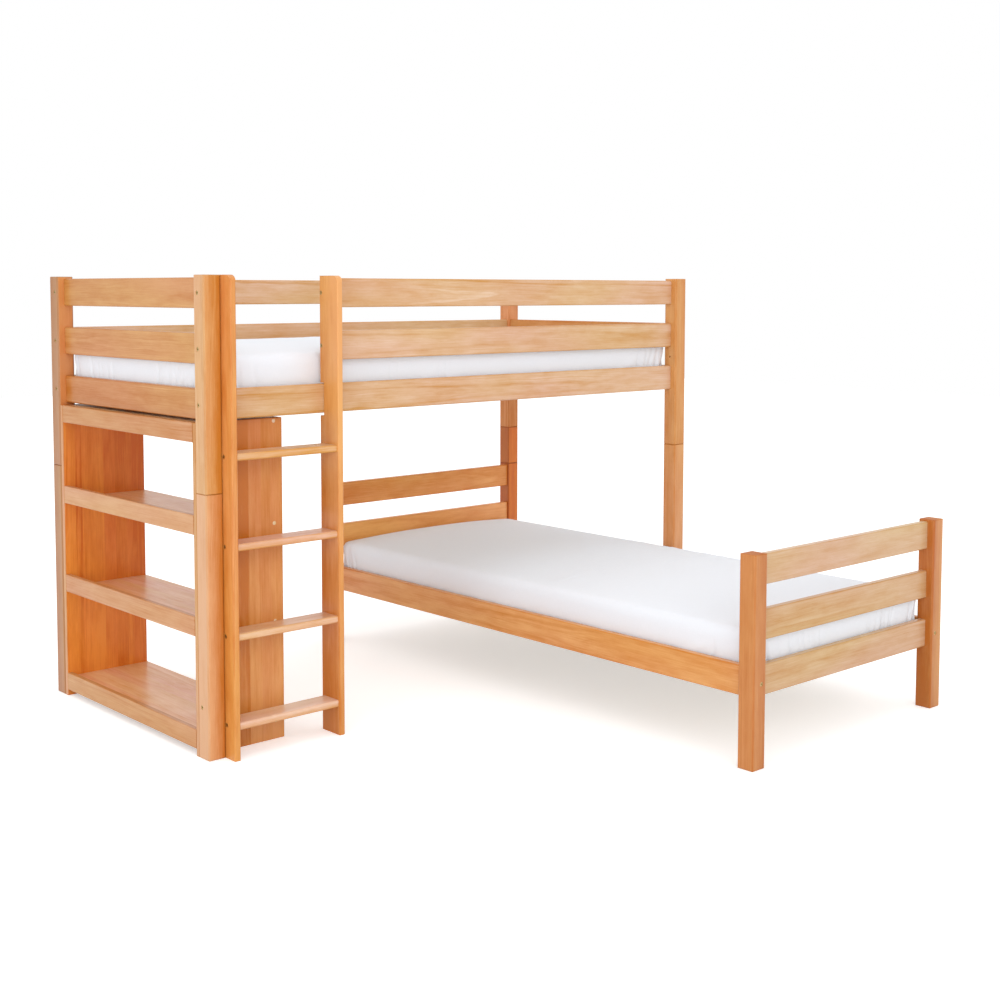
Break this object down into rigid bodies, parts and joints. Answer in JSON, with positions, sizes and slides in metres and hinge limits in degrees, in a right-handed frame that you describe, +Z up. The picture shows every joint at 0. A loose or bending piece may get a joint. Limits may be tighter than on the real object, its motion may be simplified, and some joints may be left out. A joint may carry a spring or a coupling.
{
  "type": "l shaped bunk bed",
  "caption": "L shaped wooden bunk bed: a railed high bed with ladder, a low bed set across below it, slatted bases, mattresses, and an open bookcase under the end.",
  "frame": {"origin": "on the floor, at the middle of the whole L shaped plan's bounding box", "axes": "+X along the high bed away from the ladder end, +Y from the low bed's foot towards the high bed's back, +Z up"},
  "size_m": [2.106, 2.106, 1.417],
  "materials": {
    "beech_posts": "clear satin lacquer",
    "beech_rails": "clear satin lacquer",
    "beech_stiles": "clear satin lacquer",
    "beech_rungs": "clear satin lacquer",
    "beech_ledges": "clear satin lacquer",
    "dowel_wood": "bare",
    "slat_wood": "planed, bare",
    "case_sides": "clear satin lacquer",
    "case_boards": "clear satin lacquer",
    "case_lips": "clear satin lacquer",
    "case_caps": "clear satin lacquer",
    "steel": "zinc plated",
    "bolt_steel": "yellow zinc plated",
    "webbing": "woven tape",
    "mattress_ticking": "woven ticking",
    "sheet_cotton": "smooth cotton"
  },
  "bodies": {
    "bed_frame": {"post_front_left_leg": "beech_posts", "post_front_left_upper": "beech_posts", "post_back_left_leg": "beech_posts", "post_back_left_upper": "beech_posts", "post_front_right_leg": "beech_posts", "post_front_right_upper": "beech_posts", "post_back_right_spacer": "beech_posts", "post_back_right_upper": "beech_posts", "lower_head_post_right": "beech_posts", "lower_head_post_left": "beech_posts", "lower_foot_post_left": "beech_posts", "lower_foot_post_right": "beech_posts", "post_pins": "steel", "left_end_rail_top": "beech_rails", "left_end_rail_middle": "beech_rails", "left_end_rail_bottom": "beech_rails", "right_end_rail_top": "beech_rails", "right_end_rail_middle": "beech_rails", "right_end_rail_bottom": "beech_rails", "back_rail_top": "beech_rails", "back_rail_middle": "beech_rails", "back_rail_bottom": "beech_rails", "guard_rail_top": "beech_rails", "guard_rail_middle": "beech_rails", "front_side_rail": "beech_rails", "ladder_stile_left": "beech_stiles", "ladder_stile_right": "beech_stiles", "ladder_rung_1": "beech_rungs", "ladder_rung_2": "beech_rungs", "ladder_rung_3": "beech_rungs", "ladder_rung_4": "beech_rungs", "ladder_bolts": "bolt_steel", "lower_side_rail_left": "beech_rails", "lower_side_rail_right": "beech_rails", "lower_head_rail_top": "beech_rails", "lower_head_rail_middle": "beech_rails", "lower_head_rail_bottom": "beech_rails", "lower_foot_rail_top": "beech_rails", "lower_foot_rail_middle": "beech_rails", "lower_foot_rail_bottom": "beech_rails", "slat_ledges": "beech_ledges", "bed_bolts": "bolt_steel", "barrel_nuts": "steel", "wood_dowels": "dowel_wood"},
    "upper_slat_base": {"upper_slats": "slat_wood", "upper_slat_tapes": "webbing"},
    "upper_bedding": {"upper_mattress": "mattress_ticking", "upper_fitted_sheet": "sheet_cotton"},
    "lower_slat_base": {"lower_slats": "slat_wood", "lower_slat_tapes": "webbing"},
    "lower_bedding": {"lower_mattress": "mattress_ticking", "lower_fitted_sheet": "sheet_cotton"},
    "bookcase": {"bookcase_side_front": "case_sides", "bookcase_side_back": "case_sides", "bookcase_top": "case_boards", "bookcase_shelf_upper": "case_boards", "bookcase_shelf_lower": "case_boards", "bookcase_shelf_bottom": "case_boards", "bookcase_lips": "case_lips", "bookcase_screws": "case_caps"}
  },
  "joints": [
    {"name": "upper_slats_lift", "type": "slide", "parent": "bed_frame", "child": "upper_slat_base", "axis": [0, 0, 1], "range_m": [0, 0.25]},
    {"name": "upper_mattress_lift", "type": "slide", "parent": "upper_slat_base", "child": "upper_bedding", "axis": [0, 0, 1], "range_m": [0, 0.3]},
    {"name": "lower_slats_lift", "type": "slide", "parent": "bed_frame", "child": "lower_slat_base", "axis": [0, 0, 1], "range_m": [0, 0.25]},
    {"name": "lower_mattress_lift", "type": "slide", "parent": "lower_slat_base", "child": "lower_bedding", "axis": [0, 0, 1], "range_m": [0, 0.3]},
    {"name": "bookcase_slide", "type": "slide", "parent": "bed_frame", "child": "bookcase", "axis": [-1, 0, 0], "range_m": [0, 0.4]}
  ]
}
